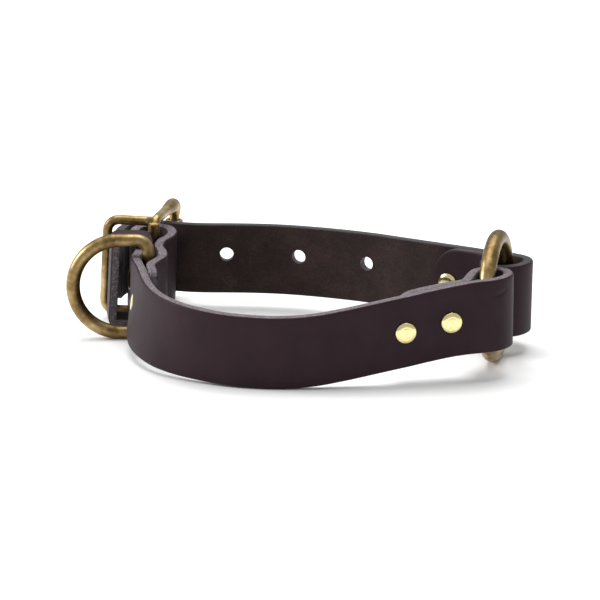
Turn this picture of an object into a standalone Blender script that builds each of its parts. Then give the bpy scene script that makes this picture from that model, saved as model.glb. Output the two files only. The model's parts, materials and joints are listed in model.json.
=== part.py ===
"""Two-strap leather collar with a centre O-ring, a D-ring and a roller buckle.

The collar stands on its strap edges.  Sizes are in millimetres here and are turned to
metres as each mesh is made.  X runs along the collar's longest side, Y from the front
strap to the rear strap, Z up from the surface that it stands on.
"""
import math

import bmesh
import bpy
from mathutils import Matrix, Vector

MM = 0.001

# ---- driving dimensions, mm -------------------------------------------------------
STRAP_WIDTH = 25.4
STRAP_THICKNESS = 3.4
LAYER_PITCH = 3.8            # centre to centre of two layers that lie together
HOLE_DIAMETER = 5.0
HOLE_PITCH = 26.8
HOLE_RISE = 1.7              # the holes' line above the strap's middle
HOLE_COUNT = 4

WIRE = 5.6                   # O-ring wire
RING_OUTER = 46.0            # O-ring outside diameter
RING_YAW = 12.6              # the ring's plane, turned from the Y axis, degrees

DEE_WIRE = 4.4
DEE_HEIGHT = 38.0
DEE_DEPTH = 31.0
DEE_CORNER = 4.2             # centre-line radius where the bar meets the legs

BUCKLE_HEIGHT = 37.0
BUCKLE_WIRE = 3.6
HEEL_WIRE = 4.4
BUCKLE_LENGTH = 29.4         # heel bar to nose bar, centre to centre
BUCKLE_YAW = 13.0            # the frame's plane, turned from the Y axis, degrees
BUCKLE_CORNER = 4.0
BUCKLE_LEAN = 3.0            # the buckle's top leans towards +X, degrees
SIDE_LOOP_REACH = 16.5       # heel bar to the fixed loop's outer bar
ROLLER_DIAMETER = 6.4
ROLLER_LENGTH = 21.0
PRONG_DIAMETER = 3.0
PRONG_HUB_HEIGHT = 5.0
PRONG_HEIGHT = 19.3          # level with the holes
PRONG_OFFSET = 4.0           # how far the prong stands outside the frame's middle plane
PRONG_CROSSING = 18.8        # heel bar to where the prong goes through the rear strap
PRONG_HUB_DIAMETER = 7.0

KEEPER_THICKNESS = 3.0
KEEPER_WIDTH = 12.0          # along the strap
KEEPER_YAW = 6.0             # degrees
KEEPER_LEAN = 3.0
KEEPER_GRIP = 11.7           # leather held by the rivet under the keeper
KEEPER_BOTTOM = 1.0
KEEPER_HEIGHT = 33.2
KEEPER_INNER_LEG = 2.95      # strap's middle to the inner leg's middle, at the floor
KEEPER_REACH = 11.95         # inner leg to outer leg, centre to centre
KEEPER_BEND = 2.2            # outside radius of its corners

RIVET_DIAMETER = 7.0
RIVET_POST = 2.8
RIVET_CAP = 1.3              # height of a cap above the leather
LOW_RIVET_CAP = 0.6          # of the one that the D-ring passes
GAP = 0.3                    # between two pieces that touch

# ---- places, mm, before the whole is centred ---------------------------------------
CENTRE = Vector((-0.406, 60.67, 0.0))
RING_CENTRE = Vector((67.7, 36.0, RING_OUTER / 2))
HEEL = Vector((-54.0, 90.5, 0.4))
DEE_BAR = Vector((-53.4, 63.0, 0.0))
KEEPER_CENTRE = Vector((-58.4, 78.0, 0.0))     # where the strap runs through it

# Straps: x, y of the middle of the leather, height of its lower edge, and how far its top
# leans towards its grain side, in degrees.  The grain is the outside of the collar, and it
# is on the right-hand side, going along the front strap, and on the left along the rear one.
FRONT_SIDE, REAR_SIDE = 1, -1
FRONT_OUTER = [
    (-60.0, 93.0, 5.4, -2), (-59.4, 85.5, 5.1, -3), (-58.4, 78.0, 4.8, -3),
    (-57.7, 70.5, 4.8, -3), (-58.2, 63.0, 4.8, -1), (-57.9, 55.5, 4.8, -5),
    (-57.2, 48.0, 4.5, -9), (-55.7, 38.5, 3.5, -10), (-53.0, 29.3, 2.8, -8),
    (-48.6, 20.9, 2.1, -5), (-42.6, 14.2, 1.5, -1), (-35.4, 8.9, 1.0, 2),
    (-27.0, 4.6, 0.5, 3), (-17.5, 1.6, 0.25, 3), (-7.0, 0.5, 0.12, 3),
    (4.0, 0.7, 0.8, 3), (15.0, 2.2, 2.4, 3), (25.0, 3.9, 4.2, 3),
    (31.2, 5.1, 5.3, 3), (36.6, 6.3, 6.2, 3), (44.0, 8.1, 7.5, 3),
    (51.6, 9.8, 8.7, 3), (56.2, 10.5, 9.3, 2),
]
FRONT_RING_LOOP = [
    (60.4, 10.5, 9.9, 0), (64.8, 11.2, 10.2, 0), (68.8, 13.9, 10.3, 0),
    (71.3, 19.0, 10.3, 0), (70.0, 24.8, 10.3, 0), (65.3, 26.8, 10.3, 0),
    (60.6, 24.9, 10.1, 0), (58.4, 20.2, 9.8, 0),
]
FRONT_BUCKLE_LOOP = [
    (-49.8, 84.4, 5.1, 3), (-46.9, 89.8, 5.4, 2), (-46.3, 97.0, 5.5, 2),
    (-48.5, 102.8, 5.5, 1), (-53.0, 105.0, 5.5, 0), (-57.6, 103.2, 5.5, -1),
    (-59.8, 98.6, 5.5, -2),
]
FRONT_BUCKLE_TAIL = [
    (-52.7, 43.6, 4.3, 9), (-53.4, 48.2, 4.5, 9), (-53.5, 52.6, 4.7, 7),
    (-51.1, 57.6, 4.8, 3), (-48.6, 63.0, 4.8, 1), (-49.2, 70.5, 4.8, 3), (-50.7, 78.0, 4.8, 3),
]
REAR_OUTER = [
    (-65.2, 86.5, 5.5, -3), (-65.4, 93.0, 5.5, -3), (-64.8, 99.6, 5.5, -2),
    (-62.2, 105.8, 5.5, -1), (-57.4, 109.4, 5.5, 0), (-51.6, 109.7, 5.5, 0),
    (-46.0, 107.8, 5.5, 1), (-40.0, 106.0, 5.5, 1), (-33.0, 105.2, 5.5, 1),
    (-24.0, 105.0, 5.5, 1), (-15.0, 104.4, 5.5, 1), (-6.0, 103.0, 5.5, 1),
    (4.0, 100.2, 5.5, 1), (15.4, 95.6, 5.6, 1),
    (26.4, 90.1, 5.7, 1), (34.4, 85.0, 5.8, 1), (42.4, 79.9, 5.9, 1),
    (50.4, 74.8, 6.0, 1), (58.4, 69.8, 6.1, 1), (66.4, 64.6, 6.2, 1),
]
REAR_RING_LOOP = [
    (74.6, 60.0, 6.3, 1), (78.9, 54.8, 6.5, 1), (79.0, 48.0, 6.8, 1),
    (74.8, 42.0, 7.0, 0), (68.9, 40.4, 7.1, 0), (64.7, 43.6, 7.0, 0),
    (64.4, 49.2, 6.8, 0), (65.6, 54.4, 6.6, 0), (65.9, 58.4, 6.4, -1),
]
# Where a rivet goes: how far along a strap's list of points, counted from its first
FRONT_RING_RIVETS = (18.8, 20.95)
FRONT_BUCKLE_RIVETS = (2.0, 6.0)
REAR_RING_RIVETS = (17.6, 18.55)

COLOURS = {                  # linear base colour, metallic, roughness
    "black_leather": ((0.026, 0.018, 0.021), 0.0, 0.55),
    "antique_brass": ((0.33, 0.22, 0.11), 1.0, 0.38),
    "polished_brass": ((0.75, 0.58, 0.32), 1.0, 0.15),
}


def clear_scene():
    for thing in list(bpy.data.objects):
        bpy.data.objects.remove(thing, do_unlink=True)


def finish(name):
    """The material for a finish, made once."""
    material = bpy.data.materials.get(name)
    if material is None:
        colour, metallic, roughness = COLOURS[name]
        material = bpy.data.materials.new(name)
        material.use_nodes = True
        shader = material.node_tree.nodes["Principled BSDF"]
        shader.inputs["Base Color"].default_value = (*colour, 1.0)
        shader.inputs["Metallic"].default_value = metallic
        shader.inputs["Roughness"].default_value = roughness
    return material


def solid(name, verts, faces, origin, finish_name, smooth_angle=40):
    """An object from points in mm, placed by its origin, which lies on its joint's axis."""
    mesh = bpy.data.meshes.new(name)
    mesh.from_pydata([(Vector(v) - origin) * MM for v in verts], [], faces)
    shape = bmesh.new()
    shape.from_mesh(mesh)
    bmesh.ops.recalc_face_normals(shape, faces=shape.faces)
    shape.to_mesh(mesh)
    shape.free()
    mesh.shade_smooth()
    mesh.set_sharp_from_angle(angle=math.radians(smooth_angle))
    piece = bpy.data.objects.new(name, mesh)
    piece.location = (origin - CENTRE) * MM
    bpy.context.scene.collection.objects.link(piece)
    mesh.materials.append(finish(finish_name))
    return piece


def joined(name, pieces):
    """Several helpers made into one, for a single cut."""
    shape = bmesh.new()
    for piece in pieces:
        piece.data.transform(Matrix.Translation(piece.location))
        shape.from_mesh(piece.data)
        bpy.data.objects.remove(piece, do_unlink=True)
    mesh = bpy.data.meshes.new(name)
    shape.to_mesh(mesh)
    shape.free()
    tool = bpy.data.objects.new(name, mesh)
    tool.location = (0, 0, 0)
    bpy.context.scene.collection.objects.link(tool)
    return tool


def boolean(piece, tool, operation):
    """Cut or join with a helper that the build leaves out."""
    tool.hide_render = True
    tool.display_type = 'WIRE'
    cut = piece.modifiers.new(tool.name, 'BOOLEAN')
    cut.operation = operation
    cut.object = tool


# ---- outlines ----------------------------------------------------------------------
def smooth_route(points, step=2.4):
    """Centripetal Catmull-Rom curve through points of any dimension, about a step apart."""
    pts = [Vector(p) for p in points]
    first = pts[0] * 2 - pts[1]
    last = pts[-1] * 2 - pts[-2]
    pts = [first] + pts + [last]
    route = []
    for i in range(1, len(pts) - 2):
        p0, p1, p2, p3 = pts[i - 1:i + 3]
        t1 = (p1 - p0).length ** 0.5
        t2 = t1 + (p2 - p1).length ** 0.5
        t3 = t2 + (p3 - p2).length ** 0.5
        turn = math.degrees((p2 - p1).angle(p1 - p0) + (p3 - p2).angle(p2 - p1))
        count = max(1, round((p2 - p1).length / step), round(turn / 14)) if turn > 1 else 1
        for k in range(count):
            t = t1 + (t2 - t1) * k / count
            a1 = p0 * ((t1 - t) / t1) + p1 * (t / t1)
            a2 = p1 * ((t2 - t) / (t2 - t1)) + p2 * ((t - t1) / (t2 - t1))
            a3 = p2 * ((t3 - t) / (t3 - t2)) + p3 * ((t - t2) / (t3 - t2))
            b1 = a1 * ((t2 - t) / t2) + a2 * (t / t2)
            b2 = a2 * ((t3 - t) / (t3 - t1)) + a3 * ((t - t1) / (t3 - t1))
            route.append(b1 * ((t2 - t) / (t2 - t1)) + b2 * ((t - t1) / (t2 - t1)))
    route.append(pts[-2])
    return route


def along_route(points, i):
    """Level unit vector along a route at point i."""
    before, after = points[max(i - 1, 0)], points[min(i + 1, len(points) - 1)]
    return Vector((after[0] - before[0], after[1] - before[1], 0)).normalized()


def grain_side(points, i, side):
    """Level unit vector to the right (side 1) or to the left (side -1) of a route."""
    along = along_route(points, i)
    return Vector((along.y, -along.x, 0)) * side


def strap_frame(points, i, side):
    """Middle of the leather at point i, the way its grain faces and its upward direction."""
    here = points[i]
    out = grain_side(points, i, side)
    lean = math.radians(here[3])
    up = Vector((0, 0, math.cos(lean))) + out * math.sin(lean)
    face = out * math.cos(lean) - Vector((0, 0, math.sin(lean)))
    middle = Vector((here[0], here[1], here[2] + STRAP_WIDTH / 2))
    return middle, face, up


def between_points(points, where, side):
    """The strap's frame at a place between two points of its list."""
    share = where % 1.0
    here = strap_frame(points, int(where), side)
    ahead = strap_frame(points, min(int(where) + 1, len(points) - 1), side)
    return here[0].lerp(ahead[0], share), here[1].lerp(ahead[1], share).normalized()


def folded_back(points, first, side):
    """A layer that lies inside the strap and runs back along it, as far as point first."""
    layer = []
    for i in range(len(points) - 1, first - 1, -1):
        x, y, height, lean = points[i]
        out = grain_side(points, i, side)
        layer.append((x - out.x * LAYER_PITCH, y - out.y * LAYER_PITCH, height, -lean))
    return layer


def strap(name, points, side, start_radius, end_radius):
    """Leather swept along a route, its corners rounded off at both ends."""
    route = smooth_route(points)
    middles = [strap_frame(route, i, side) for i in range(len(route))]
    length = [0.0]
    for a, b in zip(middles, middles[1:]):
        length.append(length[-1] + (b[0] - a[0]).length)
    half_t = STRAP_THICKNESS / 2
    verts, faces = [], []
    for (middle, face, up), run in zip(middles, length):
        half_w = STRAP_WIDTH / 2
        for radius, away in ((start_radius, run), (end_radius, length[-1] - run)):
            if away < radius:
                half_w = min(half_w, STRAP_WIDTH / 2 - radius
                             + math.sqrt(radius ** 2 - (radius - away) ** 2))
        half_w = max(half_w, 2.0)
        for u, v in ((half_t, half_w), (-half_t, half_w), (-half_t, -half_w), (half_t, -half_w)):
            verts.append(middle + face * u + up * v)
    n = 4
    for i in range(len(middles) - 1):
        for k in range(n):
            j = (k + 1) % n
            faces.append((i * n + k, i * n + j, (i + 1) * n + j, (i + 1) * n + k))
    faces.append(tuple(range(n)))
    faces.append(tuple(range(len(verts) - n, len(verts))))
    return solid(name, verts, faces, Vector((0, 0, 0)), "black_leather"), route


def lathe(name, profile, base, axis, finish_name, sides=12, origin=None):
    """A turned solid: (radius, height) points up an axis, closed at both ends."""
    axis = axis.normalized()
    side = axis.orthogonal().normalized()
    other = axis.cross(side)
    verts, faces = [], []
    for radius, height in profile:
        for k in range(sides):
            angle = math.tau * k / sides
            verts.append(base + axis * height
                         + (side * math.cos(angle) + other * math.sin(angle)) * radius)
    rings = len(profile)
    for i in range(rings - 1):
        for k in range(sides):
            j = (k + 1) % sides
            faces.append((i * sides + k, i * sides + j, (i + 1) * sides + j, (i + 1) * sides + k))
    faces.append(tuple(range(sides)))
    faces.append(tuple(range((rings - 1) * sides, rings * sides)))
    return solid(name, verts, faces, base if origin is None else origin, finish_name)


def tube_ring(name, inner, outer, height, base, finish_name, sides=24, origin=None):
    """A plain sleeve standing on its base."""
    verts, faces = [], []
    for radius, level in ((inner, 0), (outer, 0), (outer, height), (inner, height)):
        for k in range(sides):
            angle = math.tau * k / sides
            verts.append(base + Vector((radius * math.cos(angle), radius * math.sin(angle), level)))
    for i in range(4):
        for k in range(sides):
            j = (k + 1) % sides
            a, b = i * sides, ((i + 1) % 4) * sides
            faces.append((a + k, a + j, b + j, b + k))
    return solid(name, verts, faces, base if origin is None else origin, finish_name)


def bent_wire(name, centres, radius, plane_normal, origin, finish_name, closed, sides=12):
    """Round wire bent in one plane, as a closed ring or with flat ends."""
    verts, faces = [], []
    count = len(centres)
    for i, centre in enumerate(centres):
        if closed:
            before, after = centres[i - 1], centres[(i + 1) % count]
        else:
            before, after = centres[max(i - 1, 0)], centres[min(i + 1, count - 1)]
        along = (after - before).normalized()
        across = plane_normal.cross(along).normalized()
        for k in range(sides):
            angle = math.tau * k / sides
            verts.append(centre + (across * math.cos(angle)
                                   + plane_normal * math.sin(angle)) * radius)
    for i in range(count if closed else count - 1):
        for k in range(sides):
            j = (k + 1) % sides
            a, b = i * sides, ((i + 1) % count) * sides
            faces.append((a + k, a + j, b + j, b + k))
    if not closed:
        faces.append(tuple(range(sides)))
        faces.append(tuple(range((count - 1) * sides, count * sides)))
    return solid(name, verts, faces, origin, finish_name)


def corner(centre, radius, start, stop, out, count=6):
    """Arc in the plane of a level direction and Z, angles in degrees from that direction."""
    arc = []
    for k in range(count + 1):
        angle = math.radians(start + (stop - start) * k / count)
        arc.append(centre + (out * math.cos(angle) + Vector((0, 0, math.sin(angle)))) * radius)
    return arc


# ---- leather -----------------------------------------------------------------------
def make_front_strap():
    fold_start = FRONT_BUCKLE_TAIL + FRONT_BUCKLE_LOOP
    fold_end = FRONT_RING_LOOP + folded_back(FRONT_OUTER, 18, FRONT_SIDE)
    points = fold_start + FRONT_OUTER + fold_end
    piece, _ = strap("front_strap", points, FRONT_SIDE, 3.0, 8.0)
    slot = box_tool("prong_slot", HEEL + Vector((1.6, 14.0, PRONG_HEIGHT)),
                    (9.5, 9.0, 7.2), BUCKLE_YAW)
    return piece, [slot]


def make_rear_strap():
    points = REAR_OUTER + REAR_RING_LOOP + folded_back(REAR_OUTER, 17, REAR_SIDE)
    piece, route = strap("rear_strap", points, REAR_SIDE, 11.0, 5.0)
    cutters = []
    for number, (centre, face) in enumerate(adjusting_holes(route)):
        depth = STRAP_THICKNESS
        cutters.append(lathe(f"hole_tool_{number}",
                             [(HOLE_DIAMETER / 2, -depth), (HOLE_DIAMETER / 2, depth)],
                             centre, face, "black_leather", sides=20))
    return piece, cutters


def adjusting_holes(route):
    """Centre and direction of each hole, a pitch apart from the one that the prong is in."""
    back, outside = frame_directions()
    through = HEEL + back * PRONG_CROSSING + outside * PRONG_OFFSET
    through.x += PRONG_HEIGHT * math.sin(math.radians(BUCKLE_LEAN))
    on_prong = min(range(len(route)), key=lambda i: (route[i].xy - through.xy).length)
    middle, face, _ = strap_frame(route, on_prong, REAR_SIDE)
    centre = through - face * (through - middle).dot(face)
    centre.z = middle.z + HOLE_RISE
    holes = [(centre, back)]
    travelled, wanted = (middle - centre).dot(along_route(route, on_prong)), HOLE_PITCH
    for i in range(on_prong, len(route) - 1):
        here, ahead = (strap_frame(route, k, REAR_SIDE) for k in (i, i + 1))
        span = (ahead[0] - here[0]).length
        while travelled + span > wanted and len(holes) < HOLE_COUNT:
            share = (wanted - travelled) / span
            centre = here[0].lerp(ahead[0], share) + Vector((0, 0, HOLE_RISE))
            holes.append((centre, here[1].lerp(ahead[1], share)))
            wanted += HOLE_PITCH
        travelled += span
    return holes


def box_tool(name, centre, size, yaw):
    turn = Matrix.Rotation(math.radians(-yaw), 3, 'Z')
    verts, faces = [], [(0, 1, 3, 2), (4, 6, 7, 5), (0, 4, 5, 1), (2, 3, 7, 6), (0, 2, 6, 4),
                        (1, 5, 7, 3)]
    for x in (-0.5, 0.5):
        for y in (-0.5, 0.5):
            for z in (-0.5, 0.5):
                verts.append(centre + turn @ Vector((x * size[0], y * size[1], z * size[2])))
    return solid(name, verts, faces, centre, "black_leather")


def make_keeper():
    """A leather strip bent to an oblong loop round the strap's outer layer."""
    turn = Matrix.Rotation(math.radians(KEEPER_YAW), 3, 'Z')
    t = KEEPER_THICKNESS
    x_high = KEEPER_INNER_LEG + t / 2
    x_low = KEEPER_INNER_LEG - KEEPER_REACH - t / 2
    z_low, z_high = KEEPER_BOTTOM, KEEPER_BOTTOM + KEEPER_HEIGHT
    outline = []
    left, right = x_low + KEEPER_BEND, x_high - KEEPER_BEND
    bottom, top = z_low + KEEPER_BEND, z_high - KEEPER_BEND
    for cx, cz, start in ((right, top, 0), (left, top, 90), (left, bottom, 180),
                          (right, bottom, 270)):
        for k in range(4):
            angle = math.radians(start + 30 * k)
            outline.append((cx + KEEPER_BEND * math.cos(angle),
                            cz + KEEPER_BEND * math.sin(angle)))
    inside = [(min(max(x, x_low + t), x_high - t), min(max(z, z_low + t), z_high - t))
              for x, z in outline]
    verts, faces = [], []
    n = len(outline)
    for y in (-KEEPER_WIDTH / 2, KEEPER_WIDTH / 2):
        for ring in (outline, inside):
            verts += [KEEPER_CENTRE + turn @ Vector((x, y, z)) for x, z in ring]
    for k in range(n):
        j = (k + 1) % n
        faces += [(k, j, n + j, n + k), (2 * n + k, 3 * n + k, 3 * n + j, 2 * n + j),
                  (k, 2 * n + k, 2 * n + j, j), (n + k, n + j, 3 * n + j, 3 * n + k)]
    piece = solid("keeper_loop", verts, faces, KEEPER_CENTRE, "black_leather")
    weld = piece.modifiers.new("corners", 'WELD')
    weld.merge_threshold = 0.00001
    return piece


# ---- metal -------------------------------------------------------------------------
def make_o_ring():
    yaw = math.radians(RING_YAW)
    along = Vector((math.sin(yaw), math.cos(yaw), 0))
    radius = (RING_OUTER - WIRE) / 2
    centres = corner(RING_CENTRE, radius, 0, 360, along, 48)[:-1]
    normal = along.cross(Vector((0, 0, 1)))
    return bent_wire("o_ring", centres, WIRE / 2, normal, RING_CENTRE, "antique_brass", True)


def make_d_ring():
    out = Vector((-1, 0, 0))
    low, high = DEE_WIRE / 2, DEE_HEIGHT - DEE_WIRE / 2
    bow = (high - low) / 2
    leg = DEE_DEPTH - DEE_WIRE - bow
    c = DEE_CORNER
    middle = Vector((0, 0, (low + high) / 2))
    centres = corner(DEE_BAR + out * leg + middle, bow, -90, 90, out, 20)
    centres += corner(DEE_BAR + out * c + Vector((0, 0, high - c)), c, 90, 180, out, 4)
    centres += corner(DEE_BAR + out * c + Vector((0, 0, low + c)), c, 180, 270, out, 4)
    normal = out.cross(Vector((0, 0, 1)))
    return bent_wire("d_ring", centres, DEE_WIRE / 2, normal, DEE_BAR, "antique_brass", True)


def lean_with(pieces, name, foot, lean):
    """Hang pieces on an empty that leans about its foot."""
    stand = bpy.data.objects.new(name, None)
    stand.location = (foot - CENTRE) * MM
    stand.rotation_euler.y = math.radians(lean)
    bpy.context.scene.collection.objects.link(stand)
    for piece in pieces:
        piece.location -= stand.location
        piece.parent = stand


def frame_directions():
    yaw = math.radians(BUCKLE_YAW)
    back = Vector((math.sin(yaw), math.cos(yaw), 0))
    outside = Vector((-math.cos(yaw), math.sin(yaw), 0))
    return back, outside


def make_buckle_frame():
    back, _ = frame_directions()
    low, high = BUCKLE_WIRE / 2, BUCKLE_HEIGHT - BUCKLE_WIRE / 2
    c = BUCKLE_CORNER
    nose = HEEL + back * BUCKLE_LENGTH
    centres = corner(nose - back * c + Vector((0, 0, high - c)), c, 0, 90, back)
    centres += corner(HEEL + back * c + Vector((0, 0, high - c)), c, 90, 180, back)
    centres += corner(HEEL + back * c + Vector((0, 0, low + c)), c, 180, 270, back)
    centres += corner(nose - back * c + Vector((0, 0, low + c)), c, 270, 360, back)
    normal = back.cross(Vector((0, 0, 1)))
    piece = bent_wire("buckle_frame", centres, BUCKLE_WIRE / 2, normal, HEEL, "antique_brass", True)

    heel_bar = lathe("heel_bar", [(HEEL_WIRE / 2, 4.2), (HEEL_WIRE / 2, BUCKLE_HEIGHT - 4.2)],
                     HEEL, Vector((0, 0, 1)), "antique_brass")
    boolean(piece, heel_bar, 'UNION')
    left = Vector((-1, 0, 0))
    side = HEEL + left * SIDE_LOOP_REACH
    rail = corner(side - left * c + Vector((0, 0, high - c)), c, 90, 0, left)
    rail += corner(side - left * c + Vector((0, 0, low + c)), c, 0, -90, left)
    top_end = HEEL + back * 2.6 + Vector((0, 0, high - 1.2))
    low_end = HEEL + back * 2.6 + Vector((0, 0, low + 1.2))
    rail = [top_end, HEEL + left * 3.0 + Vector((0, 0, high))] + rail
    rail += [HEEL + left * 3.0 + Vector((0, 0, low)), low_end]
    loop = bent_wire("side_loop", rail, BUCKLE_WIRE / 2 - 0.07, Vector((0, 1, 0)), HEEL,
                     "antique_brass", False)
    boolean(piece, loop, 'UNION')
    return piece


def make_roller():
    back, _ = frame_directions()
    nose = HEEL + back * BUCKLE_LENGTH
    base = nose + Vector((0, 0, (BUCKLE_HEIGHT - ROLLER_LENGTH) / 2))
    return tube_ring("buckle_roller", BUCKLE_WIRE / 2 + GAP + 0.05, ROLLER_DIAMETER / 2,
                     ROLLER_LENGTH, base, "antique_brass")


def make_prong():
    back, outside = frame_directions()
    level = Vector((0, 0, PRONG_HEIGHT))
    hub = tube_ring("buckle_prong", HEEL_WIRE / 2 + GAP + 0.05, PRONG_HUB_DIAMETER / 2,
                    PRONG_HUB_HEIGHT, HEEL + level - Vector((0, 0, PRONG_HUB_HEIGHT / 2)),
                    "antique_brass", origin=HEEL)
    r = PRONG_DIAMETER / 2
    rest = ROLLER_DIAMETER / 2 + GAP + 0.1         # roller's middle to the prong's underside
    knots = [(2.6, 1.7, r), (7.0, 2.7, r), (13.0, 3.4, r), (20.0, PRONG_OFFSET, r),
             (26.5, rest + r * 0.85, r * 0.85), (30.5, rest + r * 0.75, r * 0.75),
             (32.5, rest + r * 0.35, r * 0.55)]
    verts, faces = [], []
    sides = 12
    for along, off, radius in knots:
        for k in range(sides):
            angle = math.tau * k / sides
            verts.append(HEEL + level + back * along + outside * (off + radius * math.cos(angle))
                         + Vector((0, 0, radius * math.sin(angle))))
    for i in range(len(knots) - 1):
        for k in range(sides):
            j = (k + 1) % sides
            faces.append((i * sides + k, i * sides + j, (i + 1) * sides + j, (i + 1) * sides + k))
    faces += [tuple(range(sides)), tuple(range(len(verts) - sides, len(verts)))]
    arm = solid("prong_arm", verts, faces, HEEL, "antique_brass")
    boolean(hub, arm, 'UNION')
    return hub


def add_rivet(name, middle, face, grip, cap=RIVET_CAP):
    """A rivet that reaches from the outer face inwards by its grip, and a cutter for it."""
    low = cap / RIVET_CAP
    head = RIVET_DIAMETER / 2
    post = RIVET_POST / 2
    top = middle + face * (STRAP_THICKNESS / 2 + GAP)
    socket = post + GAP
    lathe(name + "_cap",
          [(socket, 0.5 * low), (socket, 0.0), (head - 0.2, 0.0), (head, 0.25 * low),
           (head - 0.15, 0.75 * low), (head - 1.1, cap - 0.15 * low), (head - 2.3, cap)],
          top, face, "polished_brass")
    bottom = middle - face * (grip - STRAP_THICKNESS / 2 + GAP)
    reach = (top - bottom).length
    lathe(name + "_post",
          [(head - 1.0, -RIVET_CAP), (head - 0.15, -0.75), (head, -0.25), (head - 0.2, 0.0),
           (post, 0.0), (post, reach + 0.2 * low)],
          bottom, face, "polished_brass")
    return lathe(name + "_tool", [(post + GAP, -grip), (post + GAP, STRAP_THICKNESS)],
                 middle, face, "black_leather")


def main():
    clear_scene()
    front, front_cutters = make_front_strap()
    rear, rear_cutters = make_rear_strap()
    keeper = make_keeper()
    make_o_ring()
    make_d_ring()
    make_buckle_frame()
    make_roller()
    make_prong()
    helpers = [bpy.data.objects[name] for name in ("heel_bar", "side_loop", "prong_arm")]
    metal = [bpy.data.objects[name] for name in ("buckle_frame", "buckle_roller", "buckle_prong")]
    lean_with(metal + helpers, "buckle_stand", HEEL, BUCKLE_LEAN)

    pair = LAYER_PITCH + STRAP_THICKNESS
    for number, where in enumerate(FRONT_RING_RIVETS, 1):
        middle, face = between_points(FRONT_OUTER, where, FRONT_SIDE)
        front_cutters.append(add_rivet(f"front_rivet_{number}", middle, face, pair))
    for number, where in enumerate(REAR_RING_RIVETS, 1):
        middle, face = between_points(REAR_OUTER, where, REAR_SIDE)
        rear_cutters.append(add_rivet(f"rear_rivet_{number}", middle, face, pair))
    keeper_point, tail_point = FRONT_BUCKLE_RIVETS
    middle, face = between_points(FRONT_OUTER, keeper_point, FRONT_SIDE)
    keeper_hole = add_rivet("buckle_rivet_1", middle, face, KEEPER_GRIP)
    front_cutters.append(keeper_hole)
    middle, face = between_points(FRONT_OUTER, tail_point, FRONT_SIDE)
    front_cutters.append(add_rivet("buckle_rivet_2", middle, face, pair + 0.2, LOW_RIVET_CAP))

    keeper_cutter = keeper_hole.copy()
    keeper_cutter.name = "keeper_tool"
    keeper_cutter.data = keeper_hole.data.copy()
    bpy.context.scene.collection.objects.link(keeper_cutter)
    boolean(keeper, keeper_cutter, 'DIFFERENCE')
    lean_with([keeper], "keeper_stand", KEEPER_CENTRE, KEEPER_LEAN)
    boolean(front, joined("front_strap_tool", front_cutters), 'DIFFERENCE')
    boolean(rear, joined("rear_strap_tool", rear_cutters), 'DIFFERENCE')


main()
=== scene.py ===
"""Leather dog collar: two straps joined by an O-ring, with a D-ring and a roller buckle."""
import json
import math

import bmesh
import bpy
from mathutils import Matrix, Vector


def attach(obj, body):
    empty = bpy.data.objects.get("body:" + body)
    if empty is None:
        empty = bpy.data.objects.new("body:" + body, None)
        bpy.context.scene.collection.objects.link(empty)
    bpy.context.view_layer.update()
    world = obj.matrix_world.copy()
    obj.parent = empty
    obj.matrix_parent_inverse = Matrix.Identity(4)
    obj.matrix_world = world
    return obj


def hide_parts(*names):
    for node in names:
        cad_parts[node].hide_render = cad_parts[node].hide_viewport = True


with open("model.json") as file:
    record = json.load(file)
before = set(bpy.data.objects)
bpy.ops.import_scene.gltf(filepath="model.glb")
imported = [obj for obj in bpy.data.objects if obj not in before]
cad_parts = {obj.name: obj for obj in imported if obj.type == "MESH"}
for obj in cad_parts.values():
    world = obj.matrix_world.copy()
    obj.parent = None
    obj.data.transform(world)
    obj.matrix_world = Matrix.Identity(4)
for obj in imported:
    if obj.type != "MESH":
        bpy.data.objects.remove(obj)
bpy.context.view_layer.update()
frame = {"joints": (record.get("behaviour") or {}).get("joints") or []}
joints = {joint["name"]: joint for joint in frame["joints"]}

# ---- Front strap -------------------------------------------------------------------
# One length of 1 inch vegetable-tanned leather, dyed dark brown, its grain outwards.  Each
# end is folded back on itself, one round the O-ring and one round the buckle's heel bar,
# and riveted.  Sizes are in millimetres, and become metres as each mesh is made.
MM = 0.001
CENTRE = Vector((-0.406, 60.67, 0.0))
STRAP_WIDTH = 25.4
STRAP_THICKNESS = 3.4
LAYER_PITCH = 3.8
HEEL = Vector((-54.0, 90.5, 0.4))            # foot of the buckle's heel bar
BUCKLE_YAW, BUCKLE_LEAN = 13.0, 3.0          # degrees
PRONG_HEIGHT = 19.3

# x, y of the middle of the leather, height of its lower edge, lean towards its grain side
FRONT_SIDE, REAR_SIDE = 1, -1
FRONT_OUTER = [
    (-60.0, 93.0, 5.4, -2), (-59.4, 85.5, 5.1, -3), (-58.4, 78.0, 4.8, -3),
    (-57.7, 70.5, 4.8, -3), (-58.2, 63.0, 4.8, -1), (-57.9, 55.5, 4.8, -5),
    (-57.2, 48.0, 4.5, -9), (-55.7, 38.5, 3.5, -10), (-53.0, 29.3, 2.8, -8),
    (-48.6, 20.9, 2.1, -5), (-42.6, 14.2, 1.5, -1), (-35.4, 8.9, 1.0, 2),
    (-27.0, 4.6, 0.5, 3), (-17.5, 1.6, 0.25, 3), (-7.0, 0.5, 0.12, 3),
    (4.0, 0.7, 0.8, 3), (15.0, 2.2, 2.4, 3), (25.0, 3.9, 4.2, 3),
    (31.2, 5.1, 5.3, 3), (36.6, 6.3, 6.2, 3), (44.0, 8.1, 7.5, 3),
    (51.6, 9.8, 8.7, 3), (56.2, 10.5, 9.3, 2),
]
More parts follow.
